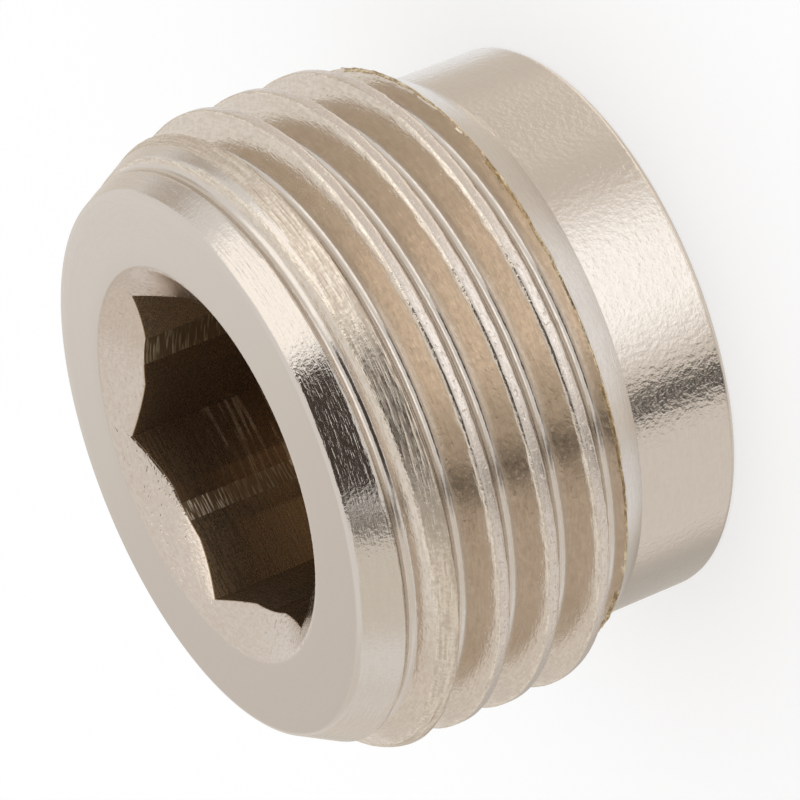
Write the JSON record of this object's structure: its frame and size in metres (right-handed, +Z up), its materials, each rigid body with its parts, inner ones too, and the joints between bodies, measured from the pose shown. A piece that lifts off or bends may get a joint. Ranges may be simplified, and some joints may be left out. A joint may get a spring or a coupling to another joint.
{
  "type": "hex socket plug",
  "caption": "Short threaded plug with a hexagon socket in one end and a plain cylindrical nose at the other; closes a pipe-threaded port.",
  "frame": {"origin": "centre of the plain nose's end face, which the plug stands on", "axes": "+Z up the plug's axis, out of the hexagon socket; X through two opposite corners of the hexagon"},
  "size_m": [0.0208, 0.0208, 0.0137],
  "materials": {
    "nickel_plated_brass": "nickel plated over fine turning marks, bright on the chamfers and flanks"
  },
  "bodies": {
    "root": {"plug_body": "nickel_plated_brass"}
  },
  "joints": []
}
